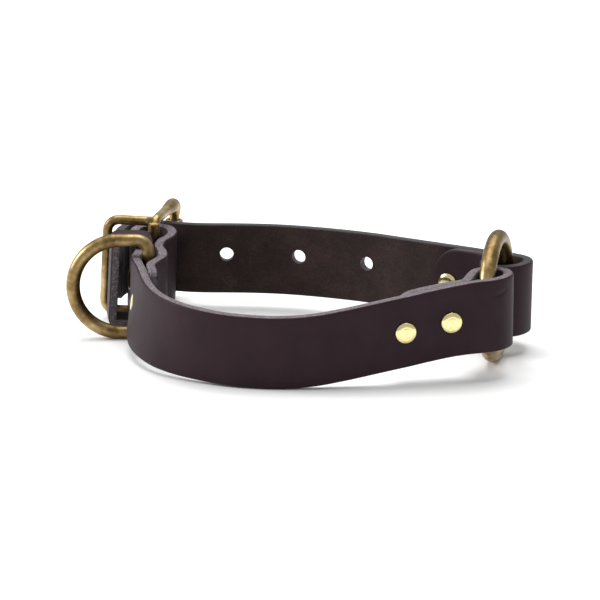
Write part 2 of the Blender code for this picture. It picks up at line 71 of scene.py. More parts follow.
FRONT_RING_LOOP = [
    (60.4, 10.5, 9.9, 0), (64.8, 11.2, 10.2, 0), (68.8, 13.9, 10.3, 0),
    (71.3, 19.0, 10.3, 0), (70.0, 24.8, 10.3, 0), (65.3, 26.8, 10.3, 0),
    (60.6, 24.9, 10.1, 0), (58.4, 20.2, 9.8, 0),
]
FRONT_BUCKLE_TAIL = [
    (-52.7, 43.6, 4.3, 9), (-53.4, 48.2, 4.5, 9), (-53.5, 52.6, 4.7, 7),
    (-51.1, 57.6, 4.8, 3), (-48.6, 63.0, 4.8, 1), (-49.2, 70.5, 4.8, 3), (-50.7, 78.0, 4.8, 3),
]
FRONT_BUCKLE_LOOP = [
    (-49.8, 84.4, 5.1, 3), (-46.9, 89.8, 5.4, 2), (-46.3, 97.0, 5.5, 2),
    (-48.5, 102.8, 5.5, 1), (-53.0, 105.0, 5.5, 0), (-57.6, 103.2, 5.5, -1),
    (-59.8, 98.6, 5.5, -2),
]


def smooth_route(points, step=1.1):
    """Centripetal Catmull-Rom curve through points of any dimension, about a step apart."""
    pts = [Vector(p) for p in points]
    pts = [pts[0] * 2 - pts[1]] + pts + [pts[-1] * 2 - pts[-2]]
    route = []
    for i in range(1, len(pts) - 2):
        p0, p1, p2, p3 = pts[i - 1:i + 3]
        t1 = (p1 - p0).length ** 0.5
        t2 = t1 + (p2 - p1).length ** 0.5
        t3 = t2 + (p3 - p2).length ** 0.5
        count = max(2, round((p2 - p1).length / step))
        for k in range(count):
            t = t1 + (t2 - t1) * k / count
            a1 = p0 * ((t1 - t) / t1) + p1 * (t / t1)
            a2 = p1 * ((t2 - t) / (t2 - t1)) + p2 * ((t - t1) / (t2 - t1))
            a3 = p2 * ((t3 - t) / (t3 - t2)) + p3 * ((t - t2) / (t3 - t2))
            b1 = a1 * ((t2 - t) / t2) + a2 * (t / t2)
            b2 = a2 * ((t3 - t) / (t3 - t1)) + a3 * ((t - t1) / (t3 - t1))
            route.append(b1 * ((t2 - t) / (t2 - t1)) + b2 * ((t - t1) / (t2 - t1)))
    route.append(pts[-2])
    return route


def along_route(points, i):
    """Level unit vector along a route at point i."""
    before, after = points[max(i - 1, 0)], points[min(i + 1, len(points) - 1)]
    return Vector((after[0] - before[0], after[1] - before[1], 0)).normalized()


def grain_side(points, i, side):
    """Level unit vector towards the grain, right of a route (side 1) or left of it (-1)."""
    along = along_route(points, i)
    return Vector((along.y, -along.x, 0)) * side


def strap_frame(points, i, side):
    """Middle of the leather at point i, the way its grain faces and its upward direction."""
    here, out = points[i], grain_side(points, i, side)
    lean = math.radians(here[3])
    up = Vector((0, 0, math.cos(lean))) + out * math.sin(lean)
    face = out * math.cos(lean) - Vector((0, 0, math.sin(lean)))
    return Vector((here[0], here[1], here[2] + STRAP_WIDTH / 2)), face, up


def between_points(points, where, side):
    """The strap's frame at a place between two points of its list."""
    here = strap_frame(points, int(where), side)
    ahead = strap_frame(points, min(int(where) + 1, len(points) - 1), side)
    share = where % 1.0
    return here[0].lerp(ahead[0], share), here[1].lerp(ahead[1], share).normalized()


def folded_back(points, first, side):
    """A layer that lies inside the strap and runs back along it, as far as point first."""
    layer = []
    for i in range(len(points) - 1, first - 1, -1):
        x, y, height, lean = points[i]
        out = grain_side(points, i, side)
        layer.append((x - out.x * LAYER_PITCH, y - out.y * LAYER_PITCH, height, -lean))
    return layer


def leather_section(half_width, thickness):
    """Outline of cut leather: (depth, across, side) with worn corners, grain side first."""
    half_t, worn = thickness / 2, min(0.75, half_width * 0.8)
    dull = min(0.45, half_width * 0.8)
    columns = 8
    outline = []
    for k in range(columns + 1):
        outline.append((half_t, (half_width - worn) * (2 * k / columns - 1), 0))
    corners = ((half_t - worn, half_width - worn, worn, 0),
               (dull - half_t, half_width - dull, dull, 90))
    for depth, across, radius, start in corners:
        for angle in (start + 22.5, start + 45, start + 67.5):
            turn = math.radians(angle)
            outline.append((depth + radius * math.cos(turn), across + radius * math.sin(turn),
                            0 if start == 0 else 2))
        if start == 0:
            outline.append((depth, half_width, 2))
            outline.append((dull - half_t, half_width, 2))
    for k in range(columns + 1):
        outline.append((-half_t, (half_width - dull) * (1 - 2 * k / columns), 1))
    for depth, across, radius, start in ((dull - half_t, dull - half_width, dull, 180),
                                         (half_t - worn, worn - half_width, worn, 270)):
        for angle in (start + 22.5, start + 45, start + 67.5):
            turn = math.radians(angle)
            outline.append((depth + radius * math.cos(turn), across + radius * math.sin(turn),
                            0 if start == 270 else 2))
        if start == 180:
            outline.append((dull - half_t, -half_width, 2))
            outline.append((half_t - worn, -half_width, 2))
    return outline


def leather_band(name, stations, thickness, closed, finishes):
    """Leather swept through (middle, face, up, half width, distance) stations."""
    verts, faces, slots, marks = [], [], [], []
    outlines = [leather_section(station[3], thickness) for station in stations]
    n = len(outlines[0])
    for (middle, face, up, _, _), outline in zip(stations, outlines):
        verts += [(middle + face * depth + up * across - CENTRE) * MM
                  for depth, across, _ in outline]
    count = len(stations)
    for i in range(count if closed else count - 1):
        step = (i + 1) % count
        for k in range(n):
            j = (k + 1) % n
            faces.append((i * n + k, i * n + j, step * n + j, step * n + k))
            sides = (outlines[i][k][2], outlines[i][j][2])
            slots.append(sides[0] if sides[0] == sides[1] else 2)
            ahead = stations[step][4] if step else stations[-1][4] + 1.0
            marks.append((stations[i][4], ahead, outlines[i][k], outlines[i][j]))
    if not closed:
        for ring, last in ((0, False), (count - 1, True)):
            faces.append(tuple(range(ring * n, ring * n + n)))
            slots.append(2)
            marks.append(None)
    mesh = bpy.data.meshes.new(name)
    mesh.from_pydata(verts, [], faces)
    chart = mesh.uv_layers.new(name="leather_mm")
    for polygon, mark, slot in zip(mesh.polygons, marks, slots):
        polygon.material_index = slot
        if mark:
            start, ahead, low, high = mark
            pull = [(start, low), (start, high), (ahead, high), (ahead, low)]
            for corner, (run, (depth, across, _)) in zip(polygon.loop_indices, pull):
                chart.data[corner].uv = (run, across if slot < 2 else depth + 40)
    for material in finishes:
        mesh.materials.append(material)
    shape = bmesh.new()
    shape.from_mesh(mesh)
    bmesh.ops.recalc_face_normals(shape, faces=shape.faces)
    shape.to_mesh(mesh)
    shape.free()
    mesh.shade_smooth()
    band = bpy.data.objects.new(name, mesh)
    bpy.context.scene.collection.objects.link(band)
    return band


def cut_strap(name, points, side, start_radius, end_radius, finishes):
    """A strap along a route, with the corners of both its ends rounded off."""
    route = smooth_route(points)
    frames = [strap_frame(route, i, side) for i in range(len(route))]
    runs = [0.0]
    for a, b in zip(frames, frames[1:]):
        runs.append(runs[-1] + (b[0] - a[0]).length)
    total = runs[-1]
    places = set(runs)
    for radius, sign, end in ((start_radius, 1, 0.0), (end_radius, -1, total)):
        places -= {run for run in places if abs(run - end) < radius}
        places |= {end + sign * radius * (1 - math.cos(math.radians(a))) for a in range(9, 91, 9)}
    stations = []
    for place in sorted(places):
        i = max(k for k in range(len(runs) - 1) if runs[k] <= place + 1e-9)
        share = (place - runs[i]) / (runs[i + 1] - runs[i])
        middle, face, up = (a.lerp(b, share) for a, b in zip(frames[i], frames[i + 1]))
        half = STRAP_WIDTH / 2
        for radius, away in ((start_radius, place), (end_radius, total - place)):
            if away < radius:
                half = min(half, STRAP_WIDTH / 2 - radius
                           + math.sqrt(radius ** 2 - (radius - away) ** 2))
        stations.append((middle, face.normalized(), up.normalized(), half, place))
    return leather_band(name, stations, STRAP_THICKNESS, False, finishes), route


def linear(colour):
    """sRGB hex to the linear colour that a shader takes."""
    parts = [int(colour[i:i + 2], 16) / 255 for i in (1, 3, 5)]
    return [c / 12.92 if c <= 0.04045 else ((c + 0.055) / 1.055) ** 2.4 for c in parts] + [1.0]


def add_node(tree, kind, inputs=None, **settings):
    """One node, with its settings, and its inputs given as values or as other outputs."""
    made = tree.nodes.new(kind)
    for key, value in settings.items():
        setattr(made, key, value)
    for key, value in (inputs or {}).items():
        if isinstance(value, bpy.types.NodeSocket):
            tree.links.new(value, made.inputs[key])
        else:
            made.inputs[key].default_value = value
    return made


def new_finish(name):
    """An empty material, its node tree and its shader."""
    material = bpy.data.materials.new(name)
    material.use_nodes = True
    tree = material.node_tree
    return material, tree, tree.nodes["Principled BSDF"]


def shades(tree, factor, stops):
    """Colours along a factor, as (place, sRGB hex) stops."""
    ramp = add_node(tree, "ShaderNodeValToRGB", {"Fac": factor})
    steps = ramp.color_ramp.elements
    while len(steps) < len(stops):
        steps.new(0.5)
    for step, (place, colour) in zip(steps, stops):
        step.position, step.color = place, linear(colour)
    return ramp.outputs["Color"]


def span(tree, value, low, high):
    """A factor from 0 to 1 spread between two values."""
    return add_node(tree, "ShaderNodeMapRange",
                    {"Value": value, "To Min": low, "To Max": high}).outputs["Result"]


def grain_leather():
    """Full-grain leather, drum-dyed and waxed: tight pores, a soft sheen and faint creases."""
    material, tree, shader = new_finish("waxed_grain_leather")
    place = add_node(tree, "ShaderNodeTexCoord").outputs["Object"]
    cloudy = add_node(tree, "ShaderNodeTexNoise", {"Vector": place, "Scale": 1 / (14 * MM),
                                                   "Detail": 3.0}).outputs["Fac"]
    pores = add_node(tree, "ShaderNodeTexVoronoi", {"Vector": place, "Scale": 1 / (0.8 * MM)},
                     feature='SMOOTH_F1').outputs["Distance"]
    fine = add_node(tree, "ShaderNodeTexNoise", {"Vector": place, "Scale": 1 / (0.5 * MM),
                                                 "Detail": 3.0}).outputs["Fac"]
    colour = shades(tree, cloudy, ((0.3, "#22151a"), (0.7, "#2a1c21")))
    tree.links.new(colour, shader.inputs["Base Color"])
    tree.links.new(span(tree, fine, 0.48, 0.62), shader.inputs["Roughness"])
    shader.inputs["Specular IOR Level"].default_value = 0.2
    shader.inputs["Specular Tint"].default_value = linear("#f2dde6")
    # The dent where the fold was pinched as it was pulled round the ring
    dent_at = (Vector((67.2, 12.6, 30.6)) - CENTRE) * MM
    spot = add_node(tree, "ShaderNodeMapping", {
        "Vector": place, "Location": dent_at, "Rotation": (0, math.radians(-14), math.radians(33)),
        "Scale": (4.2 * MM, 4.2 * MM, 1.1 * MM)}, vector_type='TEXTURE').outputs["Vector"]
    dent = add_node(tree, "ShaderNodeTexGradient", {"Vector": spot},
                    gradient_type='SPHERICAL').outputs["Fac"]
    surface = add_node(tree, "ShaderNodeBump", {"Height": pores, "Strength": 0.25,
                                                "Distance": 0.05 * MM})
    surface = add_node(tree, "ShaderNodeBump", {"Height": cloudy, "Strength": 0.35,
                                                "Distance": 0.6 * MM,
                                                "Normal": surface.outputs["Normal"]})
    surface = add_node(tree, "ShaderNodeBump", {"Height": dent, "Strength": 0.8,
                                                "Distance": 0.5 * MM,
                                                "Normal": surface.outputs["Normal"]}, invert=True)
    tree.links.new(surface.outputs["Normal"], shader.inputs["Normal"])
    return material


def flesh_leather():
    """The flesh side: the same hide split and left unfinished, so a short matt suede nap."""
    material, tree, shader = new_finish("suede_flesh_leather")
    place = add_node(tree, "ShaderNodeTexCoord").outputs["Object"]
    patches = add_node(tree, "ShaderNodeTexNoise", {"Vector": place, "Scale": 1 / (9 * MM),
                                                    "Detail": 4.0}).outputs["Fac"]
    nap = add_node(tree, "ShaderNodeTexNoise", {"Vector": place, "Scale": 1 / (0.7 * MM),
                                                "Detail": 4.0, "Roughness": 0.7}).outputs["Fac"]
    both = add_node(tree, "ShaderNodeMath", {0: patches, 1: nap}, operation='ADD').outputs[0]
    half = add_node(tree, "ShaderNodeMath", {0: both, 1: 0.5}, operation='MULTIPLY').outputs[0]
    colour = shades(tree, half, ((0.35, "#1f1514"), (0.5, "#2c1f1d"), (0.66, "#3c2b27")))
    tree.links.new(colour, shader.inputs["Base Color"])
    shader.inputs["Roughness"].default_value = 0.93
    shader.inputs["Specular IOR Level"].default_value = 0.25
    shader.inputs["Sheen Weight"].default_value = 0.12
    shader.inputs["Sheen Roughness"].default_value = 0.5
    surface = add_node(tree, "ShaderNodeBump", {"Height": nap, "Strength": 0.5,
                                                "Distance": 0.12 * MM})
    tree.links.new(surface.outputs["Normal"], shader.inputs["Normal"])
    return material


def cut_edge_leather(name, stops):
    """A knife-cut edge: fibres in layers along the strap, dyed, and paler where they are dusty."""
    material, tree, shader = new_finish(name)
    chart = add_node(tree, "ShaderNodeUVMap", uv_map="leather_mm").outputs["UV"]
    place = add_node(tree, "ShaderNodeTexCoord").outputs["Object"]
    layers = add_node(tree, "ShaderNodeMapping", {"Vector": chart, "Scale": (0.35, 2.6, 1.0)})
    strands = add_node(tree, "ShaderNodeTexNoise", {"Vector": layers.outputs["Vector"],
                                                    "Scale": 1.0, "Detail": 4.0,
                                                    "Roughness": 0.65}).outputs["Fac"]
    specks = add_node(tree, "ShaderNodeTexNoise", {"Vector": place, "Scale": 1 / (0.6 * MM),
                                                   "Detail": 2.0}).outputs["Fac"]
    both = add_node(tree, "ShaderNodeMath", {0: strands, 1: specks}, operation='ADD').outputs[0]
    half = add_node(tree, "ShaderNodeMath", {0: both, 1: 0.5}, operation='MULTIPLY').outputs[0]
    colour = shades(tree, half, stops)
    tree.links.new(colour, shader.inputs["Base Color"])
    shader.inputs["Roughness"].default_value = 0.72
    surface = add_node(tree, "ShaderNodeBump", {"Height": half, "Strength": 0.6,
                                                "Distance": 0.2 * MM})
    tree.links.new(surface.outputs["Normal"], shader.inputs["Normal"])
    return material


def named_input(tree, name, kind, value=None):
    """A size or a thing that a Geometry Nodes tree takes from outside."""
    socket = tree.interface.new_socket(name=name, in_out='INPUT', socket_type=kind)
    if value is not None:
        socket.default_value = value
    return socket.identifier


def new_tree(name):
    """A Geometry Nodes tree with a geometry going in and one coming out."""
    tree = bpy.data.node_groups.new(name, "GeometryNodeTree")
    tree.interface.new_socket(name="Geometry", in_out='INPUT', socket_type="NodeSocketGeometry")
    tree.interface.new_socket(name="Geometry", in_out='OUTPUT', socket_type="NodeSocketGeometry")
    return tree, tree.nodes.new("NodeGroupInput"), tree.nodes.new("NodeGroupOutput")


def read_attribute(tree, name, kind):
    return add_node(tree, "GeometryNodeInputNamedAttribute", {"Name": name},
                    data_type=kind).outputs["Attribute"]


def settled(piece):
    """The piece as its modifiers leave it, as a plain mesh."""
    evaluated = piece.evaluated_get(bpy.context.evaluated_depsgraph_get())
    mesh = bpy.data.meshes.new_from_object(evaluated)
    piece.modifiers.clear()
    piece.data = mesh
    mesh.name = piece.name
    return piece


def places_mesh(name, places):
    """Points with the way each one faces and its size, for a tree to put things on."""
    mesh = bpy.data.meshes.new(name)
    mesh.from_pydata([(p["at"] - CENTRE) * MM for p in places], [], [])
    mesh.attributes.new("facing", 'FLOAT_VECTOR', 'POINT')
    mesh.attributes.new("size", 'FLOAT', 'POINT')
    for i, p in enumerate(places):
        mesh.attributes["facing"].data[i].vector = p["facing"]
        mesh.attributes["size"].data[i].value = p["size"] * MM
    points = bpy.data.objects.new(name, mesh)
    bpy.context.scene.collection.objects.link(points)
    return points


punch_tree, given, result = new_tree("punches")
punch_length = named_input(punch_tree, "Punch length", "NodeSocketFloat", 6 * MM)
punch_edge = named_input(punch_tree, "Edge", "NodeSocketMaterial")
tube = add_node(punch_tree, "GeometryNodeMeshCylinder", {"Vertices": 48, "Radius": 1.0,
                                                         "Depth": 1.0})
width = read_attribute(punch_tree, "size", 'FLOAT')
size = add_node(punch_tree, "ShaderNodeCombineXYZ", {"X": width, "Y": width,
                                                     "Z": given.outputs["Punch length"]})
turn = add_node(punch_tree, "FunctionNodeAlignRotationToVector",
                {"Vector": read_attribute(punch_tree, "facing", 'FLOAT_VECTOR')}, axis='Z')
stood = add_node(punch_tree, "GeometryNodeInstanceOnPoints", {
    "Points": given.outputs["Geometry"], "Instance": tube.outputs["Mesh"],
    "Rotation": turn.outputs["Rotation"], "Scale": size.outputs["Vector"]})
real = add_node(punch_tree, "GeometryNodeRealizeInstances", {"Geometry": stood.outputs[0]})
dyed = add_node(punch_tree, "GeometryNodeSetMaterial", {"Geometry": real.outputs[0],
                                                        "Material": given.outputs["Edge"]})
punch_tree.links.new(dyed.outputs[0], result.inputs[0])


def punch(strap, places, length):
    """Punch round holes through a strap; each hole's wall is cut leather."""
    points = places_mesh(strap.name + "_punches", places)
    press = points.modifiers.new("punches", 'NODES')
    press.node_group = punch_tree
    press[punch_length] = length * MM
    press[punch_edge] = edge
    take_out(strap, settled(points))


def take_out(piece, tool):
    cut = piece.modifiers.new("cut", 'BOOLEAN')
    cut.operation, cut.object, cut.material_mode = 'DIFFERENCE', tool, 'TRANSFER'
    settled(piece)
    bpy.data.objects.remove(tool, do_unlink=True)
    piece.data.set_sharp_from_angle(angle=math.radians(48))


grain, flesh = grain_leather(), flesh_leather()
edge = cut_edge_leather("cut_edge_leather", ((0.36, "#3a3237"), (0.5, "#5b5157"),
                                             (0.64, "#83797f")))
RIVET_POST = 2.8
FRONT_RING_RIVETS = (18.8, 20.95)            # places along FRONT_OUTER
FRONT_BUCKLE_RIVETS = (2.0, 6.0)
front_points = (FRONT_BUCKLE_TAIL + FRONT_BUCKLE_LOOP + FRONT_OUTER + FRONT_RING_LOOP
                + folded_back(FRONT_OUTER, 18, FRONT_SIDE))
front_strap, _ = cut_strap("front_strap_leather", front_points, FRONT_SIDE, 3.0, 8.0,
                           (grain, flesh, edge))
holes = []
for where in FRONT_RING_RIVETS + FRONT_BUCKLE_RIVETS:
    middle, face = between_points(FRONT_OUTER, where, FRONT_SIDE)
    holes.append({"at": middle - face * 4, "facing": face, "size": RIVET_POST / 2 + 0.05})
punch(front_strap, holes, 18)
slot_mesh = bpy.data.meshes.new("prong_slot")
slot_shape = bmesh.new()
bmesh.ops.create_cube(slot_shape, size=1.0, matrix=Matrix.LocRotScale(
    (HEEL + Vector((1.6, 14.0, PRONG_HEIGHT)) - CENTRE) * MM,
    Matrix.Rotation(math.radians(-BUCKLE_YAW), 3, 'Z'), Vector((9.5, 9.0, 7.2)) * MM))
slot_shape.to_mesh(slot_mesh)
slot_shape.free()
slot_mesh.materials.append(edge)
slot_tool = bpy.data.objects.new("prong_slot", slot_mesh)
bpy.context.scene.collection.objects.link(slot_tool)
take_out(front_strap, slot_tool)
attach(front_strap, "root")
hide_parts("front_strap")

# ---- Rear strap --------------------------------------------------------------------
# The billet: the same leather, its flesh side inwards, folded round the O-ring and
# riveted.  Its free end goes through the buckle, and is punched with adjusting holes.
HOLE_DIAMETER, HOLE_PITCH, HOLE_RISE, HOLE_COUNT = 5.0, 26.8, 1.7, 4
PRONG_CROSSING, PRONG_OFFSET = 18.8, 4.0
REAR_RING_RIVETS = (17.6, 18.55)
REAR_OUTER = [
    (-65.2, 86.5, 5.5, -3), (-65.4, 93.0, 5.5, -3), (-64.8, 99.6, 5.5, -2),
    (-62.2, 105.8, 5.5, -1), (-57.4, 109.4, 5.5, 0), (-51.6, 109.7, 5.5, 0),
    (-46.0, 107.8, 5.5, 1), (-40.0, 106.0, 5.5, 1), (-33.0, 105.2, 5.5, 1),
    (-24.0, 105.0, 5.5, 1), (-15.0, 104.4, 5.5, 1), (-6.0, 103.0, 5.5, 1),
    (4.0, 100.2, 5.5, 1), (15.4, 95.6, 5.6, 1),
    (26.4, 90.1, 5.7, 1), (34.4, 85.0, 5.8, 1), (42.4, 79.9, 5.9, 1),
    (50.4, 74.8, 6.0, 1), (58.4, 69.8, 6.1, 1), (66.4, 64.6, 6.2, 1),
]
REAR_RING_LOOP = [
    (74.6, 60.0, 6.3, 1), (78.9, 54.8, 6.5, 1), (79.0, 48.0, 6.8, 1),
    (74.8, 42.0, 7.0, 0), (68.9, 40.4, 7.1, 0), (64.7, 43.6, 7.0, 0),
    (64.4, 49.2, 6.8, 0), (65.6, 54.4, 6.6, 0), (65.9, 58.4, 6.4, -1),
]


def frame_directions():
    """The way from the buckle's heel to its nose, and the way out of the collar."""
    yaw = math.radians(BUCKLE_YAW)
    return (Vector((math.sin(yaw), math.cos(yaw), 0)),
            Vector((-math.cos(yaw), math.sin(yaw), 0)))


def adjusting_holes(route):
    """Holes a pitch apart along the billet, counted from the one that the prong is in."""
    back, outside = frame_directions()
    through = HEEL + back * PRONG_CROSSING + outside * PRONG_OFFSET
    through.x += PRONG_HEIGHT * math.sin(math.radians(BUCKLE_LEAN))
    on_prong = min(range(len(route)), key=lambda i: (route[i].xy - through.xy).length)
    middle, face, _ = strap_frame(route, on_prong, REAR_SIDE)
    centre = through - face * (through - middle).dot(face)
    centre.z = middle.z + HOLE_RISE
    radius = HOLE_DIAMETER / 2
    holes = [{"at": centre, "facing": back, "size": radius}]
    travelled = (middle - centre).dot(along_route(route, on_prong))
    for i in range(on_prong, len(route) - 1):
        here, ahead = (strap_frame(route, k, REAR_SIDE) for k in (i, i + 1))
        step = (ahead[0] - here[0]).length
        wanted = HOLE_PITCH * len(holes)
        if travelled + step > wanted and len(holes) < HOLE_COUNT:
            share = (wanted - travelled) / step
            holes.append({"at": here[0].lerp(ahead[0], share) + Vector((0, 0, HOLE_RISE)),
                          "facing": here[1], "size": radius})
        travelled += step
    return holes


burnished = cut_edge_leather("burnished_edge_leather", ((0.36, "#1f1a1b"), (0.5, "#2b2628"),
                                                        (0.64, "#3a3436")))
rear_points = REAR_OUTER + REAR_RING_LOOP + folded_back(REAR_OUTER, 17, REAR_SIDE)
rear_strap, rear_route = cut_strap("rear_strap_leather", rear_points, REAR_SIDE, 11.0, 9.0,
                                   (grain, flesh, burnished))
punch(rear_strap, adjusting_holes(rear_route), 7)
holes = []
for where in REAR_RING_RIVETS:
    middle, face = between_points(REAR_OUTER, where, REAR_SIDE)
    holes.append({"at": middle - face * 2, "facing": face, "size": RIVET_POST / 2 + 0.05})
punch(rear_strap, holes, 14)
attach(rear_strap, "root")
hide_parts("rear_strap")

# ---- Keeper loop -------------------------------------------------------------------
# A narrow strip of the same hide, bent to an oblong loop that takes the billet's end.
# Its inner leg is held between the front strap's layers by a rivet; its edges are raw.
KEEPER_THICKNESS, KEEPER_WIDTH = 3.0, 12.0
KEEPER_YAW, KEEPER_LEAN = 6.0, 3.0
KEEPER_BOTTOM, KEEPER_HEIGHT = 1.0, 33.2
KEEPER_INNER_LEG, KEEPER_REACH, KEEPER_BEND = 2.95, 11.95, 2.2
KEEPER_CENTRE = Vector((-58.4, 78.0, 0.0))
yaw = Matrix.Rotation(math.radians(KEEPER_YAW), 3, 'Z')
lean = Matrix.Rotation(math.radians(KEEPER_LEAN), 3, 'Y')
bend = KEEPER_BEND - KEEPER_THICKNESS / 2 + 0.9
right = KEEPER_INNER_LEG - bend
left = KEEPER_INNER_LEG - KEEPER_REACH + bend
bottom = KEEPER_BOTTOM + KEEPER_THICKNESS / 2 + bend
top = KEEPER_BOTTOM + KEEPER_HEIGHT - KEEPER_THICKNESS / 2 - bend
stations, travelled, before = [], 0.0, None
legs = (((right, bottom), (right, top), 0), ((right, top), (left, top), 90),
        ((left, top), (left, bottom), 180), ((left, bottom), (right, bottom), 270))
for (x0, z0), (x1, z1), facing in legs:
    spots = []
    steps = max(2, round(math.hypot(x1 - x0, z1 - z0) / 1.5))
    for k in range(steps):
        spots.append((x0 + (x1 - x0) * k / steps, z0 + (z1 - z0) * k / steps, facing))
    spots += [(x1, z1, facing + angle) for angle in (0, 15, 30, 45, 60, 75)]
    for x, z, angle in spots:
        turn = math.radians(angle)
        out = Vector((math.cos(turn), 0, math.sin(turn)))
        middle = KEEPER_CENTRE + lean @ yaw @ (Vector((x, 0, z)) + out * bend)
        travelled += (middle - before).length if before else 0.0
        before = middle
        stations.append((middle, lean @ yaw @ out, lean @ yaw @ Vector((0, 1, 0)),
                         KEEPER_WIDTH / 2, travelled))
keeper = leather_band("keeper_leather", stations, KEEPER_THICKNESS, True, (grain, flesh, edge))
middle, face = between_points(FRONT_OUTER, FRONT_BUCKLE_RIVETS[0], FRONT_SIDE)
punch(keeper, [{"at": middle - face * 4, "facing": face, "size": RIVET_POST / 2 + 0.05}], 8)
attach(keeper, "root")
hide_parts("keeper_loop")

# ---- O-ring ------------------------------------------------------------------------
# Welded ring of round brass wire, antiqued: darkened in a bath, then rubbed back, so
# it is brown in its hollows and bright where leather and clips have worn it.
WIRE, RING_OUTER = 5.6, 46.0


def antique_brass():
    """Cast and tumbled brass under a brown patina that is rubbed through in patches."""
    material, tree, shader = new_finish("antique_brass_patina")
    place = add_node(tree, "ShaderNodeTexCoord").outputs["Object"]
    patches = add_node(tree, "ShaderNodeTexNoise", {"Vector": place, "Scale": 1 / (8 * MM),
                                                    "Detail": 3.0, "Roughness": 0.5})
    specks = add_node(tree, "ShaderNodeTexNoise", {"Vector": place, "Scale": 1 / (1.5 * MM),
                                                   "Detail": 3.0}).outputs["Fac"]
    share = add_node(tree, "ShaderNodeMath", {0: specks, 1: 0.25}, operation='MULTIPLY').outputs[0]
    wear = add_node(tree, "ShaderNodeMath", {0: patches.outputs["Fac"], 1: 0.75, 2: share},
                    operation='MULTIPLY_ADD').outputs[0]
    colour = shades(tree, wear, ((0.34, "#5a4a30"), (0.45, "#806a43"), (0.55, "#9b845a"),
                                 (0.68, "#bba67d")))
    tree.links.new(colour, shader.inputs["Base Color"])
    shader.inputs["Metallic"].default_value = 1.0
    tree.links.new(span(tree, wear, 0.5, 0.28), shader.inputs["Roughness"])
    surface = add_node(tree, "ShaderNodeBump", {"Height": specks, "Strength": 0.3,
                                                "Distance": 0.05 * MM})
    tree.links.new(surface.outputs["Normal"], shader.inputs["Normal"])
    return material


brass = antique_brass()
ring_tree, given, result = new_tree("welded_ring")
ring_across = named_input(ring_tree, "Ring diameter", "NodeSocketFloat", RING_OUTER * MM)
ring_wire = named_input(ring_tree, "Wire diameter", "NodeSocketFloat", WIRE * MM)
ring_finish = named_input(ring_tree, "Finish", "NodeSocketMaterial")
middle_line = add_node(ring_tree, "ShaderNodeMath", {0: given.outputs["Ring diameter"],
                                                     1: given.outputs["Wire diameter"]},
                       operation='SUBTRACT')
path_radius = add_node(ring_tree, "ShaderNodeMath", {0: middle_line.outputs[0], 1: 0.5},
                       operation='MULTIPLY')
wire_radius = add_node(ring_tree, "ShaderNodeMath", {0: given.outputs["Wire diameter"], 1: 0.5},
                       operation='MULTIPLY')
path = add_node(ring_tree, "GeometryNodeCurvePrimitiveCircle", {"Resolution": 160,
                                                                "Radius": path_radius.outputs[0]})
section = add_node(ring_tree, "GeometryNodeCurvePrimitiveCircle", {
    "Resolution": 32, "Radius": wire_radius.outputs[0]})
drawn = add_node(ring_tree, "GeometryNodeCurveToMesh", {"Curve": path.outputs["Curve"],
                                                        "Profile Curve": section.outputs["Curve"]})
real = add_node(ring_tree, "GeometryNodeRealizeInstances", {"Geometry": drawn.outputs[0]})
finished = add_node(ring_tree, "GeometryNodeSetMaterial", {"Geometry": real.outputs[0],
                                                           "Material": given.outputs["Finish"]})
ring_tree.links.new(finished.outputs[0], result.inputs[0])
o_ring = bpy.data.objects.new("o_ring_wire", bpy.data.meshes.new("o_ring_wire"))
bpy.context.scene.collection.objects.link(o_ring)
maker = o_ring.modifiers.new("welded_ring", 'NODES')
maker.node_group = ring_tree
maker[ring_across], maker[ring_wire] = RING_OUTER * MM, WIRE * MM
maker[ring_finish] = brass
settled(o_ring)
ring_axis = Vector(joints["o_ring_spin"]["axis"]).normalized()
o_ring.data.transform(ring_axis.to_track_quat('Z', 'Y').to_matrix().to_4x4())
o_ring.data.transform(Matrix.Translation(joints["o_ring_spin"]["pos_m"]))
o_ring.data.shade_smooth()
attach(o_ring, "o_ring")
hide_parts("o_ring")

# ---- D-ring ------------------------------------------------------------------------
# A D of the same antiqued brass wire.  Its straight bar stands in the pocket between
# the front strap's two layers, so the bow swings like a gate.
DEE_WIRE, DEE_HEIGHT, DEE_DEPTH, DEE_CORNER = 4.4, 38.0, 31.0, 4.2
DEE_BAR = Vector((-53.4, 63.0, 0.0))


def arc(centre, radius, start, stop, out, count):
    """Points round an arc in the plane of a level direction and Z, angles in degrees."""
    angles = [math.radians(start + (stop - start) * k / count) for k in range(count + 1)]
    return [centre + (out * math.cos(a) + Vector((0, 0, math.sin(a)))) * radius for a in angles]


def subdivided(centres, closed, step):
    """The same line with points no further apart than a step."""
    line = []
    ends = centres[1:] + centres[:1] if closed else centres[1:]
    for a, b in zip(centres, ends):
        count = max(1, round((b - a).length / step))
        line += [a.lerp(b, k / count) for k in range(count)]
    return line if closed else line + centres[-1:]


def bent_wire(name, centres, radii, plane_normal, closed, sides=28):
    """Round wire bent in one plane, its radius given at each point."""
    verts, faces, count = [], [], len(centres)
    for i, centre in enumerate(centres):
        before = centres[i - 1] if closed or i else centre
        after = centres[(i + 1) % count] if closed or i < count - 1 else centre
        across = plane_normal.cross((after - before).normalized()).normalized()
        for k in range(sides):
            angle = math.tau * k / sides
            way = across * math.cos(angle) + plane_normal * math.sin(angle)
            verts.append((centre + way * radii[i] - CENTRE) * MM)
    for i in range(count if closed else count - 1):
        for k in range(sides):
            j, a, b = (k + 1) % sides, i * sides, ((i + 1) % count) * sides
            faces.append((a + k, a + j, b + j, b + k))
    if not closed:
        faces += [tuple(range(sides)), tuple(range((count - 1) * sides, count * sides))]
    return metal(name, verts, faces)


